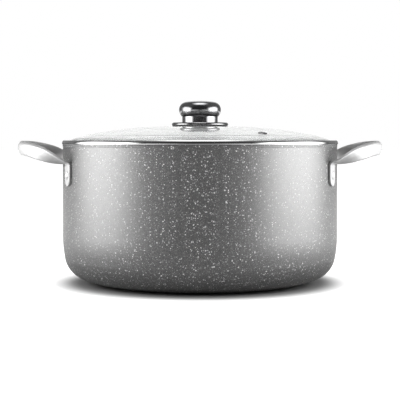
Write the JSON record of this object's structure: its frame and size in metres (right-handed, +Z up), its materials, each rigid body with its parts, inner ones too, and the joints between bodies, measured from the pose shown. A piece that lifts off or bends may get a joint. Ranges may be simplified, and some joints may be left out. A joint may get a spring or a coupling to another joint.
{
  "type": "non-stick stockpot",
  "caption": "Wide non-stick stockpot with a granite-effect grey coating, twisted steel loop handles on rivets, and a domed glass lid with a steel rim, a steam vent and a dark chrome knob.",
  "frame": {"origin": "centre of the base, on the surface that the pot stands on", "axes": "+Z up along the pot's axis, +X towards the right handle, -Y towards the front"},
  "size_m": [0.3998, 0.3008, 0.199],
  "materials": {
    "coated_aluminium": "satin dark grey granite-effect non-stick coat with fine pale flecks, over forged aluminium",
    "polished_steel": "polished stainless steel",
    "rim_steel": "polished rolled stainless steel",
    "lid_glass": "clear toughened soda-lime glass with a slight green edge",
    "dark_chrome": "dark mirror-finish plated steel",
    "plain_steel": "plain zinc-plated steel",
    "brass": "turned brass",
    "silicone": "black silicone rubber",
    "moulded_core": "black heat-resistant moulding"
  },
  "bodies": {
    "root": {"pot_body": "coated_aluminium", "handle_left": "polished_steel", "handle_right": "polished_steel", "left_handle_rivets": "polished_steel", "right_handle_rivets": "polished_steel", "lid_glass": "lid_glass", "lid_rim_band": "rim_steel", "vent_eyelet": "rim_steel", "vent_washer": "rim_steel", "knob_flange": "dark_chrome", "upper_gasket": "silicone", "knob_neck": "dark_chrome", "knob_cap": "dark_chrome", "knob_core": "moulded_core", "knob_insert": "brass", "lower_gasket": "silicone", "under_cap": "dark_chrome", "screw_washer": "plain_steel", "knob_screw": "plain_steel"}
  },
  "joints": []
}
